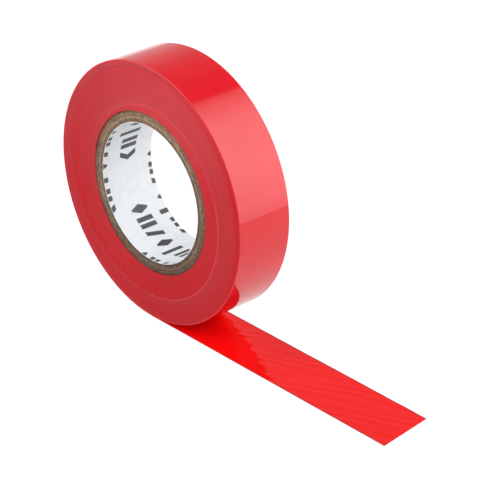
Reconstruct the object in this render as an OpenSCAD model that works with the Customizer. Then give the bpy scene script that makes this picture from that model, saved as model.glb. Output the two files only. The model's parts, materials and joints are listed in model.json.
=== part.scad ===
// Roll of PVC electrical tape on a paperboard core. It stands on its rim, with the free end
// of the tape drawn off at the bottom and laid out flat, adhesive side up.
// The roll's axis is Y, the free end points along +X, and the origin is the middle of the bore.

/* [Tape] */
// Outer diameter of the roll
roll_d = 79; // [76:0.5:84]
// Width of the tape
tape_w = 18; // [12:0.5:25]
// Thickness of the film with its adhesive
tape_t = 0.15; // [0.13:0.01:0.2]

/* [Core] */
// Outer diameter of the paperboard core
core_d = 49; // [46:0.5:52]
// Diameter of the core's bore
bore_d = 42; // [38:0.5:43]
// Thickness of the printed paper that lines the bore
liner_t = 0.2; // [0.1:0.05:0.4]
// Number of board plies wound over the liner
ply_count = 6; // [3:1:8]

/* [Winding] */
// Outer diameter of the turns wound first, next to the core
inner_turns_d = 58; // [54:0.5:62]
// Outer diameter of the turns wound over those
middle_turns_d = 71; // [66:0.5:74]
// How far the inner turns stand out of the front face
inner_shift = 0.05; // [0:0.01:0.1]
// How far the outer turns and the free end stand out of the front face
outer_shift = 0.3; // [0:0.05:0.5]
// Where the last turn begins, in degrees up from +X, past the free end when it is wound back on
last_turn_start = 64; // [60:1:120]

/* [Free end] */
// Number of stretches that the free end is divided into by its bend lines
tail_count = 8; // [4:1:8]
// Length of each stretch from one bend line to the next
tail_step = 11.25; // [11:0.05:11.4]
// Gap at each bend line
bend_gap = 0.1; // [0.05:0.05:0.2]
// How much longer the free end is at the front edge than at the back, because it was cut askew
cut_skew = 2.1; // [0:0.1:5]

/* [Hidden] */
$fn = 180;
roll_r = roll_d / 2;
// The turns below the last one end at the radius of the free end's upper, adhesive side.
wound_r = roll_r - tape_t;
ply_t = (core_d / 2 - bore_d / 2 - liner_t) / ply_count;
// The first bend line is half a stretch from the bottom of the roll, with room for the stretches
// to close round the roll as a polygon whose sides stay just clear of it.
closing_room = 0.3;
first_bend = tail_step / 2 + closing_room;
// The last turn runs from where it begins, over the top, to the bottom of the roll.
last_turn_angle = 270 - last_turn_start;

TAPE_RED = "#d8222a";
TAPE_EDGE = "#b82a33";
TAPE_ADHESIVE = "#f02a2a";
PAPER_WHITE = "#e8eaec";
BOARD_BROWN = ["#8a7c60", "#7d7057"];

// Turns a solid made about Z so that its axis is Y and an angle measured up from +X stays so.
module about_y() {
    rotate([90, 0, 0]) children();
}

// A tube about Y from one radius to another, standing out of the front face by shift.
module wound_tube(inner_r, outer_r, shift = 0) {
    translate([0, -shift, 0]) about_y() difference() {
        cylinder(h = tape_w, r = outer_r, center = true);
        cylinder(h = tape_w + 2, r = inner_r, center = true);
    }
}

// White printed paper, the innermost layer of the core
module core_liner() {
    color(PAPER_WHITE) wound_tube(bore_d / 2, bore_d / 2 + liner_t);
}

// One ply of the core's board, counted outwards from the liner
module core_ply(i) {
    inner_r = bore_d / 2 + liner_t + (i - 1) * ply_t;
    color(BOARD_BROWN[i % 2]) wound_tube(inner_r, inner_r + ply_t);
}

// The turns of tape next to the core
module inner_turns() {
    color(TAPE_EDGE) wound_tube(core_d / 2, inner_turns_d / 2, inner_shift);
}

// The turns in the middle of the winding, flush with the core
module middle_turns() {
    color(TAPE_EDGE) wound_tube(inner_turns_d / 2, middle_turns_d / 2);
}

// The outer turns, which have slid a little along the axis
module outer_turns() {
    color(TAPE_RED) wound_tube(middle_turns_d / 2, wound_r, outer_shift);
}

// The last turn on the roll, as far as the line at the bottom where the free end leaves it
module last_turn() {
    color(TAPE_RED)
        translate([0, -outer_shift, 0])
        about_y()
        rotate_extrude(angle = last_turn_angle, start = last_turn_start)
        translate([wound_r, -tape_w / 2])
        square([tape_t, tape_w]);
}

// A flat stretch of the free end from x_start to x_end, with its end cut askew by skew
module flat_tape(x_start, x_end, skew = 0) {
    translate([0, -outer_shift, -roll_r])
        linear_extrude(tape_t)
        polygon([
            [x_start, -tape_w / 2],
            [x_end, -tape_w / 2],
            [x_end - skew, tape_w / 2],
            [x_start, tape_w / 2]
        ]);
}

// The stretch that leaves the bottom of the roll, as far as the first bend line
module tail_start() {
    color(TAPE_ADHESIVE) flat_tape(0, first_bend - bend_gap / 2);
}

// One stretch of the free end, counted from the roll; the last one ends in the cut
module tail(i) {
    x_start = first_bend + (i - 1) * tail_step + bend_gap / 2;
    x_end = first_bend + i * tail_step - bend_gap / 2;
    color(TAPE_ADHESIVE) flat_tape(x_start, x_end, i == tail_count ? cut_skew : 0);
}

core_liner();
for (i = [1:ply_count]) core_ply(i);
inner_turns();
middle_turns();
outer_turns();
last_turn();
tail_start();
for (i = [1:tail_count]) tail(i);
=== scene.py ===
"""The looks of a roll of red electrical tape with its free end drawn out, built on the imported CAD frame.

Lengths are in metres. The roll's axis is Y, the free end lies on the floor and points along +X, and +Z is up.
"""

import json
import math

import bpy
import numpy as np
from mathutils import Matrix, Vector

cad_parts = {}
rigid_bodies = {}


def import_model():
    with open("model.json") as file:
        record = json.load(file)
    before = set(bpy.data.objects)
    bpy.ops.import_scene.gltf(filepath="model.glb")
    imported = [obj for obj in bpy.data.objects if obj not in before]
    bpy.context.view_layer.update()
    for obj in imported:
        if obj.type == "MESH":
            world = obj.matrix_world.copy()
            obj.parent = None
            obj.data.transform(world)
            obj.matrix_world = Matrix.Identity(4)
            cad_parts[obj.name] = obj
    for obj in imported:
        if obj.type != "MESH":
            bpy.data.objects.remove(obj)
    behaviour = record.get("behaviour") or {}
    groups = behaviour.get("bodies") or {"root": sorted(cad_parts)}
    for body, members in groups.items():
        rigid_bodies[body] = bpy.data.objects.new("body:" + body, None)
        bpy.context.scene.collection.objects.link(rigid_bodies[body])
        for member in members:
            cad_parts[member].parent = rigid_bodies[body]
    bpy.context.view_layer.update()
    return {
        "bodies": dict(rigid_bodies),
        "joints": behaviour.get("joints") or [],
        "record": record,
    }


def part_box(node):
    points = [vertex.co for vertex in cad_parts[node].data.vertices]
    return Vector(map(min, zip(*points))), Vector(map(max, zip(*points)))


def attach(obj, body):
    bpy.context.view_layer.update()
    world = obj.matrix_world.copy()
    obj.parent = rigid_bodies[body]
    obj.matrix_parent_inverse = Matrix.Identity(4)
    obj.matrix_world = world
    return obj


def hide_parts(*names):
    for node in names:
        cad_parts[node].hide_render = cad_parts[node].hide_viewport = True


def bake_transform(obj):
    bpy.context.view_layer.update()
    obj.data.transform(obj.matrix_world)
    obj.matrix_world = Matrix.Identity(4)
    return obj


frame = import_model()

MM = 0.001

# ---- Sizes, from the frame ----
STRETCHES = sorted(body for body in frame["bodies"] if body.startswith("tail_"))
BENDS = sorted(joint["pos_m"][0] for joint in frame["joints"])
FLOOR_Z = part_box("tail_1")[0].z
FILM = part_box("tail_1")[1].z - FLOOR_Z
TAIL_LOW_Y, TAIL_HIGH_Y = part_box("tail_1")[0].y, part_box("tail_1")[1].y
TAIL_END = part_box("tail_8")[1].x
ROLL_R = -FLOOR_Z
TAPE_W = TAIL_HIGH_Y - TAIL_LOW_Y
CORE_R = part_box("core_ply_6")[1].z
LINER_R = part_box("core_liner")[1].z
BORE_R = frame["record"]["mounts"][0]["dims"]["r_mm"] * MM

# ---- The wound tape ----
TURN_STEPS = 132           # straight pieces in one turn
TURN_GAP = 0.003 * MM      # left between neighbouring turns
EDGE_CHAMFER = 0.03 * MM   # at the cut edges of the film
SLIDE = TAPE_W / 2 + TAIL_LOW_Y     # how far the outer turns have slid along the axis
SLIDE_FROM_R, SLIDE_TO_R = 31 * MM, 38.5 * MM       # none below the first radius, all of it past the second
KNIFE_FEED = 11.2 * MM     # the slitting knife's mark runs inward by this much in one revolution
KNIFE_START = 120          # degrees from +X towards +Z at which the mark is at KNIFE_START_R
KNIFE_START_R = 37.5 * MM
KNIFE_STEP = 0.22 * MM     # height of the step along the mark
KNIFE_WALL = 0.45 * MM     # how far the step's slope reaches along the radius
KNIFE_FADE = 2.5 * MM      # the step dies out over this much of the radius, up to the rim
RIM_ROUND_R, RIM_ROUND = 0.3 * MM, 0.12 * MM    # the outermost turns draw back from the cut face
TURN_JITTER = 0.001 * MM   # how unevenly the turns' edges line up
TURN_TILT = 0.003 * MM     # how unevenly the edges are cut

# ---- The core ----
CORE_STEPS = 240           # straight pieces round a layer of the core
PLY_ROUND = 0.09 * MM      # rounding of a ply's cut edge
PLY_ROUGH = 0.035 * MM     # fuzz of a ply's cut edge
LINER_ROUND, LINER_ROUGH = 0.04 * MM, 0.01 * MM     # the same for the paper liner
BOARD = (0.128, 0.083, 0.055)
PLY_TONES = (0.75, 1.05, 1.45, 0.95, 1.1, 0.7)      # brightness of each ply, from the bore outwards
PLY = (CORE_R - LINER_R) / len(PLY_TONES)           # thickness of a ply

# ---- The print on the liner ----
PRINT_GROUPS = 3           # groups of marks in one row round the bore
PRINT_ROW_STEP = 10.4 * MM # from one row of marks to the next
PRINT_SHIFT = 40           # degrees that each row starts before the last one
PRINT_FIRST = 217          # degrees at which a group of the row nearest +Y has its middle
PRINT_ROWS = 3
PRINT_OFFSET = 0.1 * MM    # of the middle row, from halfway across the liner
PRINT_PROUD = 0.012 * MM   # how far the ink stands off the liner, and how far it is sunk in
PRINT_MARGIN = 0.05 * MM   # kept clear of print at the liner's two edges
MARK_STEP = 4.5 * MM       # from one mark of a group to the next
MARK_HALF = 2.85 * MM      # half a mark's height
MARK_TAIL = 1.75 * MM      # how much further the tall bar reaches
MARK_WIDE = 1.5 * MM       # how far a slanting mark leans, and half a lozenge's width
LOZENGE_TIP = 0.3 * MM     # half the width that a lozenge's two ends are cut off to
STROKE = 1.5 * MM          # thickness of a stroke, square to its length
PATCH_STEPS = 4            # parts that a patch of ink is cut into, each way

# ---- The drawn-out free end ----
GRID = 0.25 * MM           # between neighbouring vertices of the film
CUT_SKEW = 2.1 * MM        # how much shorter the free end is along its far edge
RIPPLE = 0.055 * MM        # how far the film stands off the floor, on average
RIPPLE_ALONG = (0.917, 0.40)        # direction that the stretch marks run in, as x and y
RIPPLE_RISE = 5 * MM       # the ripples grow to full height over this much of the film
EDGE_MARGIN = 0.4 * MM     # width of the change of colour along each cut edge


def noise_wave(u, v, seed, count=5, low=0.6, high=2.4):
    """A smooth, repeatable bumpy field, about -1 to 1, from a few crossed waves."""
    rng = np.random.default_rng(seed)
    total = np.zeros(np.broadcast(u, v).shape)
    for _ in range(count):
        fu, fv = rng.uniform(low, high, 2)
        total += np.sin(fu * u + rng.uniform(0, 6.3)) * np.cos(fv * v + rng.uniform(0, 6.3))
    return total / math.sqrt(count)


def smoothstep(x):
    x = np.clip(x, 0, 1)
    return x * x * (3 - 2 * x)


# ------------------------------------------------------------------ meshes


def mesh_piece(name, verts, faces, materials, face_materials=None, sharp=30):
    """A mesh object from vertices and lists of their numbers, smooth but for edges over sharp degrees."""
    mesh = bpy.data.meshes.new(name)
    mesh.from_pydata(np.asarray(verts, float).tolist(), [], faces)
    for mat in materials:
        mesh.materials.append(mat)
    if face_materials is not None:
        mesh.polygons.foreach_set("material_index", np.asarray(face_materials, np.int32))
    mesh.shade_smooth()
    mesh.set_sharp_from_angle(angle=math.radians(sharp))
    mesh.update()
    piece = bpy.data.objects.new(name, mesh)
    bpy.context.scene.collection.objects.link(piece)
    return piece


def grid_faces(rows, columns):
    """Quads over an open grid of vertices that are counted row by row."""
    i, j = np.meshgrid(np.arange(rows - 1), np.arange(columns - 1), indexing="ij")
    a = (i * columns + j).ravel()
    return np.stack([a, a + columns, a + columns + 1, a + 1], -1)


def ring_faces(rows, columns, closed):
    """Quads over a grid whose columns run round a closed section, and whose rows join up if closed."""
    r = np.arange(rows if closed else rows - 1)[:, None]
    c = np.arange(columns)[None, :]
    r2, c2 = (r + 1) % rows, (c + 1) % columns
    quad = [r * columns + c, r2 * columns + c, r2 * columns + c2, r * columns + c2]
    return np.stack([np.broadcast_to(q, (len(r), columns)) for q in quad], -1).reshape(-1, 4)


def side_offset(r, theta):
    """How far along Y a turn has slid, and how much more the knife and the rim shift its front edge."""
    slid = SLIDE * smoothstep((r - SLIDE_FROM_R) / (SLIDE_TO_R - SLIDE_FROM_R))
    mark_r = KNIFE_START_R - KNIFE_FEED * ((np.degrees(theta) - KNIFE_START) % 360 / 360)
    phase = ((r - mark_r) / KNIFE_FEED) % 1
    wall = smoothstep((1 - phase) * KNIFE_FEED / KNIFE_WALL)
    knife = KNIFE_STEP * phase * wall * smoothstep((ROLL_R - r) / KNIFE_FADE)
    rim = RIM_ROUND * np.clip((r - ROLL_R + RIM_ROUND_R) / RIM_ROUND_R, 0, 1) ** 2
    return slid, rim - knife


def wound_tape(film, cut_edge):
    """The wound strip as one spiral ribbon, from where it leaves the roll to its first turn on the core."""
    turns = (ROLL_R - FILM - CORE_R) / FILM
    steps = int(turns * TURN_STEPS)
    turn = np.arange(steps + 1) / TURN_STEPS
    theta = np.radians(270 - 360 * turn)
    outer = ROLL_R - FILM * turn
    inner = outer - (FILM - TURN_GAP)
    rng = np.random.default_rng(11)
    count = int(turns) + 3
    jitter, tilt, back_tilt = (np.interp(turn, np.arange(count), rng.normal(0, s, count))
                               for s in (TURN_JITTER, TURN_TILT, TURN_TILT))
    corner = outer - EDGE_CHAMFER
    low, low_in = (-TAPE_W / 2 + sum(side_offset(r, theta)) + jitter for r in (outer, inner))
    high = TAPE_W / 2 + side_offset(outer, theta)[0] + jitter
    section = [
        (outer, low + tilt + EDGE_CHAMFER), (corner, low + tilt), (inner, low_in - tilt),
        (inner, high - back_tilt), (corner, high + back_tilt), (outer, high + back_tilt - EDGE_CHAMFER),
    ]
    verts = np.stack([np.stack([r * np.cos(theta), y, r * np.sin(theta)], -1) for r, y in section], 1)
    sides = len(section)
    faces = ring_faces(steps + 1, sides, closed=False).tolist()
    last = steps * sides
    caps = [list(range(sides)), [last + i for i in reversed(range(sides))]]
    slots = np.append(np.tile([1, 1, 0, 1, 1, 0], steps), [1, 1])
    piece = mesh_piece("wound_tape", verts.reshape(-1, 3), faces + caps, [film, cut_edge], slots, sharp=35)
    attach(piece, "roll")
    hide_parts("inner_turns", "middle_turns", "outer_turns", "last_turn")
    return piece


def paper_tube(name, node, material, seed, rounding, rough):
    """One layer of the core: a tube whose cut edges are rounded and a little uneven."""
    low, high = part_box(node)
    outer = high.z
    inner = BORE_R if node == "core_liner" else outer - PLY
    corner = [(rounding * (1 - math.cos(a)), rounding * (1 - math.sin(a)))
              for a in np.radians([0, 30, 60, 90])]
    profile = []
    for end, inward in ((low.y, 1), (high.y, -1)):
        edge = [(outer - dr, end + inward * dy) for dr, dy in corner]
        edge += [((outer + inner) / 2, end)]
        edge += [(inner + dr, end + inward * dy) for dr, dy in reversed(corner)]
        profile += edge if inward == 1 else edge[::-1]
    theta = np.linspace(0, 2 * math.pi, CORE_STEPS, endpoint=False)[:, None]
    r = np.array([p[0] for p in profile])[None, :] + 0 * theta
    y = np.array([p[1] for p in profile])[None, :] + 0 * theta
    rng = np.random.default_rng(seed)
    end_side = np.where(np.arange(len(profile)) < len(profile) // 2, 1, -1)[None, :]
    fuzz = rough * (0.5 * rng.random(r.shape) + 0.5 + 0.5 * noise_wave(9 * theta, end_side * 1.0, seed))
    y = y + end_side * np.clip(fuzz, 0, 3 * rough)
    verts = np.stack([r * np.cos(theta), y, r * np.sin(theta)], -1).reshape(-1, 3)
    faces = ring_faces(CORE_STEPS, len(profile), closed=True).tolist()
    piece = mesh_piece(name, verts, faces, [material], sharp=60)
    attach(piece, "roll")
    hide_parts(node)
    return piece


def stroke(x0, y0, x1, y1):
    """A straight stroke between two points, with its ends cut square to the rows."""
    half = STROKE / 2 * math.hypot(x1 - x0, y1 - y0) / abs(y1 - y0)
    return [(x0 - half, y0), (x0 + half, y0), (x1 + half, y1), (x1 - half, y1)]


def marks():
    """The plain shapes of one group of the print, as patches in (along the circumference, along the axis)."""
    h, w, tip = MARK_HALF, MARK_WIDE, LOZENGE_TIP
    slash = [stroke(-w / 2, -h, w / 2, h)]
    pair = [stroke(x, -h, x, h) for x in (-0.75 * w, 0.75 * w)]
    tall = [stroke(0, -h - MARK_TAIL, 0, h)]
    lozenge = [[(-tip, -h), (tip, -h), (w, 0), (-w, 0)], [(-w, 0), (w, 0), (tip, h), (-tip, h)]]
    chevron = [stroke(-w / 2, -h, w / 2, 0), stroke(w / 2, 0, -w / 2, h)]
    return [chevron, pair, tall, lozenge, slash, pair, lozenge]


def liner_print(ink):
    """Rows of plain marks printed round the inside of the liner, cut off where the liner is cut."""
    low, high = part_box("core_liner")
    shapes = marks()
    verts, faces = [], []
    for row in range(PRINT_ROWS):
        row_y = PRINT_ROW_STEP * (PRINT_ROWS // 2 - row) + PRINT_OFFSET
        for group in range(PRINT_GROUPS):
            middle = math.radians(PRINT_FIRST + PRINT_SHIFT * row + 360 / PRINT_GROUPS * group)
            for place, mark in enumerate(shapes):
                centre = middle + (len(shapes) // 2 - place) * MARK_STEP / BORE_R
                for quad in mark:
                    add_patch(verts, faces, patch_rows(quad, row_y, low.y, high.y), centre)
    piece = mesh_piece("liner_print", verts, faces, [ink])
    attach(piece, "roll")
    return piece


def patch_rows(quad, row_y, low_y, high_y):
    """Rows (y, one end, other end) of a four-sided patch, cut off short of the liner's two edges."""
    (x0, y0), (x1, _), (x2, _), (x3, y3) = quad
    limits = (low_y + PRINT_MARGIN, high_y - PRINT_MARGIN)
    rows = []
    for step in range(PATCH_STEPS + 1):
        t = step / PATCH_STEPS
        rows.append((row_y + y0 + (y3 - y0) * t, x0 + (x3 - x0) * t, x1 + (x2 - x1) * t))
    inside = [row for row in rows if limits[0] < row[0] < limits[1]]
    for (ya, aa, ba), (yb, ab, bb) in zip(rows, rows[1:]):
        for limit in limits:
            if min(ya, yb) < limit < max(ya, yb):
                t = (limit - ya) / (yb - ya)
                inside.append((limit, aa + (ab - aa) * t, ba + (bb - ba) * t))
    return sorted(inside)


def add_patch(verts, faces, rows, centre):
    """Adds one closed patch of ink, bent to the bore; fewer than two rows are left out."""
    if len(rows) < 2:
        return
    start, across, top = len(verts), PATCH_STEPS, len(rows) - 1
    for radius in (BORE_R - PRINT_PROUD, BORE_R + PRINT_PROUD):
        for y, left, right in rows:
            for j in range(across + 1):
                angle = centre + (left + (right - left) * j / across) / BORE_R
                verts.append((radius * math.cos(angle), y, radius * math.sin(angle)))

    def at(level, i, j):
        return start + (level * len(rows) + i) * (across + 1) + j

    for i in range(top):
        for j in range(across):
            faces.append([at(0, i, j), at(0, i, j + 1), at(0, i + 1, j + 1), at(0, i + 1, j)])
            faces.append([at(1, i, j), at(1, i + 1, j), at(1, i + 1, j + 1), at(1, i, j + 1)])
        faces.append([at(0, i, 0), at(0, i + 1, 0), at(1, i + 1, 0), at(1, i, 0)])
        faces.append([at(0, i, across), at(1, i, across), at(1, i + 1, across), at(0, i + 1, across)])
    for j in range(across):
        faces.append([at(0, 0, j), at(1, 0, j), at(1, 0, j + 1), at(0, 0, j + 1)])
        faces.append([at(0, top, j), at(0, top, j + 1), at(1, top, j + 1), at(1, top, j)])


def ripple(x, y):
    """How much the drawn-out film stands off the floor: slanting stretch marks and a few broader waves."""
    dx, dy = RIPPLE_ALONG
    across = (dy * x - dx * y) / MM
    along = (dx * x + dy * y) / MM
    marks = np.sin(1.75 * across + 0.8 * np.sin(0.21 * along) + 1.3 * np.sin(0.47 * across + 0.11 * along))
    marks = marks * (0.65 + 0.35 * np.sin(0.29 * along + 0.8 * across))
    finer = 0.22 * np.sin(3.9 * across + 1.5 * np.sin(0.33 * along))
    broad = noise_wave(along, across, 5, count=6, low=0.1, high=0.5)
    return RIPPLE * smoothstep(x / RIPPLE_RISE) * (3 + marks + finer + broad) / 3


def film_faces(rows, columns):
    """Faces of a closed film over an upper and a lower grid, and their materials: 1 underneath, else 0."""
    under = rows * columns
    upper = grid_faces(rows, columns)
    lower = upper[:, ::-1] + under
    loop = np.concatenate([np.arange(columns), (np.arange(1, rows) + 1) * columns - 1,
                           np.arange(under - 2, (rows - 1) * columns - 1, -1),
                           np.arange((rows - 2) * columns, 0, -columns)])
    after = np.roll(loop, -1)
    walls = np.stack([loop, after, after + under, loop + under], -1)
    slots = np.repeat([0, 1, 0], [len(upper), len(lower), len(walls)])
    return np.concatenate([upper, lower, walls]).tolist(), slots


def tail_film(index, adhesive, film):
    """The film across one bend, from the middle of one stretch to the middle of the next."""
    step = BENDS[1] - BENDS[0]
    bend = BENDS[index - 1]
    start = bend - step / 2 if index > 1 else 0.0
    last = index == len(BENDS)
    end = TAIL_END if last else bend + step / 2
    skew = CUT_SKEW if last else 0.0
    rows = round((end - start) / GRID) + 1
    columns = round(TAPE_W / GRID) + 1
    s, t = np.meshgrid(np.linspace(0, 1, rows), np.linspace(0, 1, columns), indexing="ij")
    y = TAIL_LOW_Y + t * TAPE_W
    x = start + s * (end - skew * t - start)
    lift = ripple(x, y)
    top = np.stack([x, y, FLOOR_Z + FILM + lift], -1).reshape(-1, 3)
    bottom = np.stack([x, y, FLOOR_Z + lift], -1).reshape(-1, 3)
    faces, slots = film_faces(rows, columns)
    piece = mesh_piece("tail_film_%d" % index, np.concatenate([top, bottom]), faces, [adhesive, film], slots)
    body, before = STRETCHES[index - 1], "roll" if index == 1 else STRETCHES[index - 2]
    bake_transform(piece)
    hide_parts(body, *(["tail_start"] if index == 1 else []))
    return piece


# --------------------------------------------------------------- materials


def new_material(name, color, roughness, specular=0.5):
    """A Principled material and its nodes; the caller adds the detail."""
    mat = bpy.data.materials.new(name)
    mat.use_nodes = True
    nodes, links = mat.node_tree.nodes, mat.node_tree.links
    shader = nodes["Principled BSDF"]
    shader.inputs["Base Color"].default_value = (*color, 1)
    shader.inputs["Roughness"].default_value = roughness
    shader.inputs["IOR"].default_value = 1.5
    shader.inputs["Specular IOR Level"].default_value = specular
    return mat, nodes, links, shader


def object_coords(nodes):
    return nodes.new("ShaderNodeTexCoord").outputs["Object"]


def feed(links, socket, value):
    """Links one socket to another, or sets it to a constant."""
    if isinstance(value, bpy.types.NodeSocket):
        links.new(value, socket)
    else:
        socket.default_value = value


def math_node(nodes, links, operation, *values):
    node = nodes.new("ShaderNodeMath")
    node.operation = operation
    for socket, value in zip(node.inputs, values):
        feed(links, socket, value)
    return node.outputs[0]


def weighted_sum(nodes, links, base, *terms):
    """A base number plus each (socket, weight) term."""
    total = base
    for socket, weight in terms:
        total = math_node(nodes, links, "MULTIPLY_ADD", socket, weight, total)
    return total


def polar_coords(nodes, links):
    """Radius from the roll's axis, angle round it, and place along it, as three sockets."""
    split = nodes.new("ShaderNodeSeparateXYZ")
    links.new(object_coords(nodes), split.inputs[0])
    x, y, z = split.outputs
    squared = math_node(nodes, links, "ADD", math_node(nodes, links, "MULTIPLY", x, x),
                        math_node(nodes, links, "MULTIPLY", z, z))
    return math_node(nodes, links, "SQRT", squared), math_node(nodes, links, "ARCTAN2", z, x), y


def combine(nodes, links, x, y, z):
    node = nodes.new("ShaderNodeCombineXYZ")
    for socket, value in zip(node.inputs, (x, y, z)):
        feed(links, socket, value)
    return node.outputs[0]


def noise(nodes, links, vector, scale, detail=2.0, roughness=0.5):
    node = nodes.new("ShaderNodeTexNoise")
    node.inputs["Scale"].default_value = scale
    node.inputs["Detail"].default_value = detail
    node.inputs["Roughness"].default_value = roughness
    links.new(vector, node.inputs["Vector"])
    return node.outputs["Fac"]


def ramp(nodes, links, factor, stops):
    """A color ramp through (place, color) stops."""
    node = nodes.new("ShaderNodeValToRGB")
    elements = node.color_ramp.elements
    while len(elements) < len(stops):
        elements.new(0.5)
    for element, (place, color) in zip(elements, stops):
        element.position = place
        element.color = (*color, 1)
    links.new(factor, node.inputs[0])
    return node.outputs["Color"]


def span(nodes, links, value, low, high, start=0.0, end=1.0, easing="LINEAR"):
    """Maps start..end to low..high, and keeps to those two beyond the ends."""
    node = nodes.new("ShaderNodeMapRange")
    node.interpolation_type = easing
    links.new(value, node.inputs["Value"])
    for socket, number in (("From Min", start), ("From Max", end), ("To Min", low), ("To Max", high)):
        node.inputs[socket].default_value = number
    return node.outputs["Result"]


def scale_color(nodes, links, color, factor):
    """The colour made brighter or darker by a factor."""
    node = nodes.new("ShaderNodeVectorMath")
    node.operation = "SCALE"
    links.new(color, node.inputs[0])
    links.new(factor, node.inputs["Scale"])
    return node.outputs[0]


def blend_colors(nodes, links, factor, first, second):
    """The first colour where factor is 0 and the second, a socket or an RGBA constant, where it is 1."""
    node = nodes.new("ShaderNodeMix")
    node.data_type = "RGBA"
    links.new(factor, node.inputs["Factor"])
    links.new(first, node.inputs[6])
    feed(links, node.inputs[7], second)
    return node.outputs[2]


def bump(nodes, links, shader, height, distance):
    node = nodes.new("ShaderNodeBump")
    node.inputs["Distance"].default_value = distance
    links.new(height, node.inputs["Height"])
    links.new(node.outputs["Normal"], shader.inputs["Normal"])


def film_material():
    """The glossy PVC backing, with faint stretch lines round the roll."""
    mat, nodes, links, shader = new_material("tape_backing", (0.5, 0.008, 0.015), 0.08)
    _, angle, y = polar_coords(nodes, links)
    around = math_node(nodes, links, "MULTIPLY", angle, 0.01)
    lines = noise(nodes, links, combine(nodes, links, around, y, 0), 900, 3)
    links.new(span(nodes, links, lines, 0.03, 0.09), shader.inputs["Roughness"])
    cloud = noise(nodes, links, object_coords(nodes), 60)
    color = ramp(nodes, links, cloud, [(0.3, (0.423, 0.006, 0.010)), (0.7, (0.452, 0.008, 0.013))])
    links.new(color, shader.inputs["Base Color"])
    bump(nodes, links, shader, lines, 0.004 * MM)
    return mat


def adhesive_material():
    """The tacky side of the film: glossy, with painted light that brightens it near the roll, a pale and a
    dark line along each edge.
    """
    mat, nodes, links, shader = new_material("tape_adhesive_side", (0.6, 0.002, 0.002), 0.04)
    coords = object_coords(nodes)
    fine = noise(nodes, links, coords, 700, 3)
    links.new(span(nodes, links, fine, 0.015, 0.04), shader.inputs["Roughness"])
    split = nodes.new("ShaderNodeSeparateXYZ")
    links.new(coords, split.inputs[0])
    x, y, _ = split.outputs
    off_middle = math_node(nodes, links, "ABSOLUTE", math_node(nodes, links, "SUBTRACT", y, SLIDE))
    from_edge = math_node(nodes, links, "SUBTRACT", TAPE_W / 2, off_middle)
    margin = math_node(nodes, links, "DIVIDE", from_edge, EDGE_MARGIN)
    patchy = math_node(nodes, links, "MULTIPLY", noise(nodes, links, coords, 120), 0.08)
    shade = math_node(nodes, links, "SUBTRACT", margin, patchy)
    pale, dark = (0.60, 0.13, 0.13), (0.15, 0.008, 0.012)
    color = ramp(nodes, links, shade, [(0.0, pale), (0.05, pale), (0.1, dark), (0.5, dark),
                                       (0.9, (0.50, 0.002, 0.002)), (1.0, (0.515, 0.002, 0.002))])
    # Painted light: the colour is raised up to 1.45 times near the roll, lifting the roll's shade off the
    # film.
    painted_light_near_roll = span(nodes, links, x, 1.45, 1.0, 15 * MM, 42 * MM)
    links.new(scale_color(nodes, links, color, painted_light_near_roll), shader.inputs["Base Color"])
    bump(nodes, links, shader, fine, 0.001 * MM)
    return mat


def knife_phase(nodes, links, radius, angle):
    """Place between one pass of the knife and the next, 0 just outside a mark and 1 just inside the next."""
    turn = math_node(nodes, links, "DIVIDE", angle, 2 * math.pi)
    past = math_node(nodes, links, "FRACT", math_node(nodes, links, "ADD", turn, 2 - KNIFE_START / 360))
    inward = math_node(nodes, links, "SUBTRACT", radius, KNIFE_START_R)
    reach = math_node(nodes, links, "DIVIDE", inward, KNIFE_FEED)
    total = math_node(nodes, links, "ADD", math_node(nodes, links, "ADD", reach, past), 2.0)
    return math_node(nodes, links, "FRACT", total)


def knife_mark(nodes, links, radius, angle, phase):
    """The knife mark's colour, a painted highlight at the lower right and near the core and painted shade
    elsewhere, and its place.
    """
    # Painted light: the mark is pale where it would catch the light, at the lower right and near the core,
    # and dark, as painted shade, at the upper left.
    side = math_node(nodes, links, "SINE", math_node(nodes, links, "ADD", angle, math.radians(145)))
    lit = math_node(nodes, links, "MAXIMUM", span(nodes, links, side, 0, 1, -0.5, 0.5),
                    span(nodes, links, radius, 0, 0.6, 36 * MM, 33 * MM))
    color = ramp(nodes, links, lit, [(0.0, (0.27, 0.004, 0.010)), (1.0, (0.52, 0.035, 0.045))])
    place = ramp(nodes, links, phase, [(0.945, (0, 0, 0)), (0.967, (1, 1, 1)), (0.985, (1, 1, 1)),
                                       (1.0, (0, 0, 0))])
    return color, place


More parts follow.
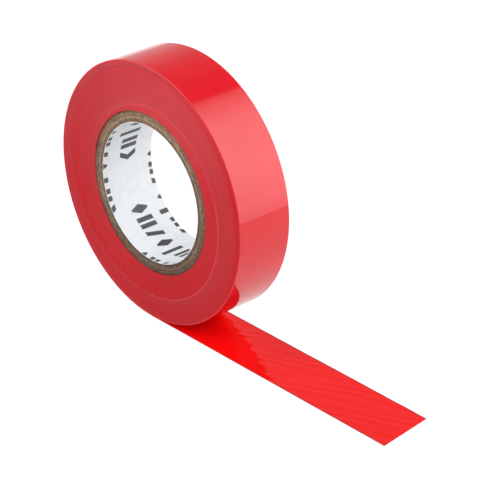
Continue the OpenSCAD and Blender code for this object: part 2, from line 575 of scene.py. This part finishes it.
def cut_edge_material():
    """The knife-cut side of the tape: satin, with fine rings, a knife mark, painted sheen beside the marks
    and over the top, and a pale rim that is a painted highlight.
    """
    mat, nodes, links, shader = new_material("tape_cut_edge", (0.46, 0.015, 0.022), 0.4, specular=0.18)
    radius, angle, _ = polar_coords(nodes, links)
    slow = math_node(nodes, links, "MULTIPLY", angle, 0.0006)
    rings = noise(nodes, links, combine(nodes, links, radius, slow, 0), 2600, 3, 0.6)
    broad = noise(nodes, links, combine(nodes, links, radius, slow, 3.0), 500, 2)
    specks = noise(nodes, links, object_coords(nodes), 3000, 2, 0.6)
    phase = knife_phase(nodes, links, radius, angle)
    # Painted sheen: the red is paler and whiter just outside each knife mark and deeper towards the next
    # mark.
    outside, inside = (0.365, 0.012, 0.020), (0.395, 0.001, 0.005)
    tone = ramp(nodes, links, phase, [(0.0, outside), (0.12, (0.37, 0.008, 0.014)),
                                      (0.4, (0.38, 0.003, 0.008)), (0.8, inside),
                                      (0.97, inside), (0.99, outside)])
    mark, on_mark = knife_mark(nodes, links, radius, angle, phase)
    tone = blend_colors(nodes, links, on_mark, tone, mark)
    # Painted sheen: the cut face turns a paler pink over the top of the roll.
    painted_sheen_at_top = math_node(nodes, links, "SINE", math_node(nodes, links, "SUBTRACT", angle, math.radians(15)))
    tone = blend_colors(nodes, links, span(nodes, links, painted_sheen_at_top, 0, 0.10), tone, (0.75, 0.20, 0.22, 1))
    shade = weighted_sum(nodes, links, 0.83, (rings, 0.10), (broad, 0.05), (specks, 0.16))
    # Painted highlight: the last turns at the rim turn a paler red.
    rim = span(nodes, links, radius, 0, 1, ROLL_R - 0.45 * MM, ROLL_R - 0.25 * MM)
    color = blend_colors(nodes, links, rim, scale_color(nodes, links, tone, shade), (0.56, 0.04, 0.05, 1))
    links.new(color, shader.inputs["Base Color"])
    links.new(span(nodes, links, rings, 0.33, 0.47), shader.inputs["Roughness"])
    shader.inputs["Anisotropic"].default_value = 0.6
    tangent = nodes.new("ShaderNodeTangent")
    tangent.direction_type, tangent.axis = "RADIAL", "Y"
    links.new(tangent.outputs[0], shader.inputs["Tangent"])
    bump(nodes, links, shader, rings, 0.003 * MM)
    return mat


def board_material(index, tone):
    """One ply of grey-brown paperboard, with fibres that run round the core, and painted light that makes it
    brighter at the top.
    """
    mat, nodes, links, shader = new_material("paperboard_%d" % index, (0.2, 0.15, 0.1), 0.85, specular=0.2)
    radius, angle, y = polar_coords(nodes, links)
    around = math_node(nodes, links, "MULTIPLY", angle, 0.004)
    across = math_node(nodes, links, "MULTIPLY", y, 0.3)
    fibres = noise(nodes, links, combine(nodes, links, radius, around, across), 3500, 4, 0.65)
    specks = noise(nodes, links, object_coords(nodes), 1500, 3, 0.6)
    both = weighted_sum(nodes, links, 0.0, (fibres, 0.45), (specks, 0.55))
    stops = [(place, tuple(share * tone * c for c in BOARD))
             for place, share in ((0.34, 0.45), (0.5, 1.0), (0.66, 1.8))]
    color = ramp(nodes, links, both, stops)
    # Painted light and shade: the ply is lighter at the top and darker at the bottom; the noise patches are
    # random tone.
    painted_light_at_top = math_node(nodes, links, "SINE", math_node(nodes, links, "ADD", angle, -0.2))
    patches = noise(nodes, links, object_coords(nodes), 150, 2)
    patches_and_painted_light = weighted_sum(nodes, links, 0.73, (painted_light_at_top, 0.32), (patches, 0.5))
    links.new(scale_color(nodes, links, color, patches_and_painted_light), shader.inputs["Base Color"])
    bump(nodes, links, shader, both, 0.08 * MM)
    return mat


def liner_material():
    """Smooth white paper with a faint fibre cloudiness."""
    mat, nodes, links, shader = new_material("liner_paper", (0.8, 0.82, 0.85), 0.5, specular=0.35)
    coords = object_coords(nodes)
    cloud = noise(nodes, links, coords, 350, 4, 0.6)
    links.new(ramp(nodes, links, cloud, [(0.3, (0.46, 0.472, 0.483)), (0.7, (0.51, 0.522, 0.536))]),
              shader.inputs["Base Color"])
    bump(nodes, links, shader, noise(nodes, links, coords, 1800, 3), 0.012 * MM)
    return mat


def ink_material():
    """Dark grey print, a little uneven, as it lies on paper."""
    mat, nodes, links, shader = new_material("print_ink", (0.07, 0.07, 0.075), 0.5)
    patchy = noise(nodes, links, object_coords(nodes), 1500, 3)
    links.new(ramp(nodes, links, patchy, [(0.3, (0.028, 0.029, 0.032)), (0.75, (0.055, 0.056, 0.06))]),
              shader.inputs["Base Color"])
    return mat


def floor_material():
    """A plain white light table: near white round the roll, greyer further off."""
    mat, nodes, links, shader = new_material("studio_floor", (0.12, 0.12, 0.12), 0.9, specular=0.1)
    split = nodes.new("ShaderNodeSeparateXYZ")
    links.new(object_coords(nodes), split.inputs[0])
    squares = [math_node(nodes, links, "MULTIPLY", split.outputs[i], split.outputs[i]) for i in (0, 1)]
    off = math_node(nodes, links, "SQRT", math_node(nodes, links, "ADD", *squares))
    glow = span(nodes, links, off, 0.92, 0.55, 0.2, 2.5, "SMOOTHSTEP")
    shader.inputs["Emission Color"].default_value = (1, 1, 1, 1)
    links.new(glow, shader.inputs["Emission Strength"])
    return mat


# ------------------------------------------------------------ stage, light


def floor():
    """The plain pale floor that the roll and its free end rest on."""
    half, count = 4.0, 9
    line = np.linspace(-half, half, count)
    x, y = np.meshgrid(line, line, indexing="ij")
    z = FLOOR_Z - 0.02 * MM
    verts = np.stack([x, y, 0 * x + z], -1).reshape(-1, 3)
    piece = mesh_piece("floor", verts, grid_faces(count, count).tolist(), [floor_material()])
    return piece


def panel(name, centre, target, size, luminance, mirrored=False):
    """A soft rectangular light at centre, facing target; it is seen in gloss only if mirrored."""
    data = bpy.data.lights.new(name, "AREA")
    data.shape = "RECTANGLE"
    data.size, data.size_y = size
    data.energy = luminance * math.pi * size[0] * size[1]
    light = bpy.data.objects.new(name, data)
    bpy.context.scene.collection.objects.link(light)
    centre = Vector(centre)
    light.matrix_world = Matrix.Translation(centre) @ (
        (Vector(target) - centre).to_track_quat("-Z", "Y").to_matrix().to_4x4())
    light.visible_camera = False
    light.visible_glossy = mirrored
    return light


def soft_strip(light, stops):
    """Gives a panel a brightness that changes along its length, through (place, share) stops."""
    data = light.data
    data.use_nodes = True
    nodes, links = data.node_tree.nodes, data.node_tree.links
    split = nodes.new("ShaderNodeSeparateXYZ")
    links.new(nodes.new("ShaderNodeNewGeometry").outputs["Parametric"], split.inputs[0])
    shade = ramp(nodes, links, split.outputs[1], [(place, (share,) * 3) for place, share in stops])
    links.new(shade, nodes["Emission"].inputs["Color"])


def lights():
    """A bright card leaning back from the right, a high key in front, and fills on top and on three sides."""
    foot, head = Vector((0.165, 0.046, FLOOR_Z)), Vector((0.023, 0.45, 0.68))
    foot, head = foot - 0.12 * (head - foot), head + 0.15 * (head - foot)
    along = (head - foot).normalized()
    across = along.cross(Vector((1, 0, 0))).normalized()
    card = panel("card", (foot + head) / 2, (0, 0, 0), (0.12, (head - foot).length), 3.3, mirrored=True)
    turn = Matrix((across, along, across.cross(along))).transposed().to_4x4()
    card.matrix_world = Matrix.Translation((foot + head) / 2) @ turn
    soft_strip(card, [(0.0, 0.2), (0.097, 0.2), (0.132, 0.42), (0.159, 0.75), (0.212, 1.0), (0.304, 0.96),
                      (0.362, 0.88), (0.459, 0.64), (0.68, 0.36), (0.78, 0.27), (0.88, 0.15), (1.0, 0.0)])
    panel("key", (0.0, -1.3, 0.95), (0, 0, 0), (1.1, 0.9), 3.1, mirrored=True)
    panel("top", (-0.05, -0.15, 1.3), (0, 0, 0), (0.7, 0.5), 4.5)
    panel("right", (0.95, -0.45, 0.25), (0, 0, 0), (0.6, 0.6), 4.0)
    panel("left", (-0.26, -0.31, 0.33), (0, 0, 0), (0.34, 0.34), 4.2)
    panel("back", (0.12, 1.15, 0.46), (0, 0, 0), (1.5, 0.85), 6.5)


def world():
    """Studio surroundings: pale near the horizon and dim overhead."""
    sky = bpy.data.worlds.new("studio")
    bpy.context.scene.world = sky
    sky.use_nodes = True
    nodes, links = sky.node_tree.nodes, sky.node_tree.links
    split = nodes.new("ShaderNodeSeparateXYZ")
    links.new(nodes.new("ShaderNodeTexCoord").outputs["Generated"], split.inputs[0])
    shade = ramp(nodes, links, split.outputs[2], [
        (0.0, (0.7, 0.7, 0.7)), (0.15, (0.62, 0.62, 0.62)), (0.3, (0.52, 0.52, 0.52)),
        (0.5, (0.36, 0.36, 0.36)), (0.8, (0.1, 0.1, 0.1))])
    links.new(shade, nodes["Background"].inputs["Color"])
    nodes["Background"].inputs["Strength"].default_value = 1.0


def camera():
    """The photograph's viewpoint: a long lens, from the right of the front face and above."""
    azimuth, elevation, roll = (math.radians(a) for a in (48.65, 27.10, -0.526))
    distance, lens = 0.6599, 169.2
    aim_along, aim_up = 19.56 * MM, -18.83 * MM
    target = Vector((aim_along * math.cos(azimuth), aim_along * math.sin(azimuth), aim_up))
    back = Vector((math.sin(azimuth) * math.cos(elevation), -math.cos(azimuth) * math.cos(elevation),
                   math.sin(elevation)))
    level = Vector((math.cos(azimuth), math.sin(azimuth), 0))
    upright = back.cross(level)
    right = level * math.cos(roll) + upright * math.sin(roll)
    up = upright * math.cos(roll) - level * math.sin(roll)
    data = bpy.data.cameras.new("camera")
    data.lens, data.sensor_width = lens, 36
    data.clip_start, data.clip_end = 0.01, 50
    cam = bpy.data.objects.new("camera", data)
    bpy.context.scene.collection.objects.link(cam)
    turn = Matrix((right, up, back)).transposed().to_4x4()
    cam.matrix_world = Matrix.Translation(target + back * distance) @ turn
    bpy.context.scene.camera = cam


# ------------------------------------------------------------------- build


camera()
world()
lights()
floor()

film, adhesive, cut_edge = film_material(), adhesive_material(), cut_edge_material()
paper = liner_material()

wound_tape(film, cut_edge)
for number, tone in enumerate(PLY_TONES, 1):
    board = board_material(number, tone)
    paper_tube("board_%d" % number, "core_ply_%d" % number, board, number, PLY_ROUND, PLY_ROUGH)
paper_tube("liner", "core_liner", paper, 20, LINER_ROUND, LINER_ROUGH)
liner_print(ink_material())
for number in range(1, len(BENDS) + 1):
    tail_film(number, adhesive, film)

bpy.context.scene.view_settings.view_transform = "Standard"
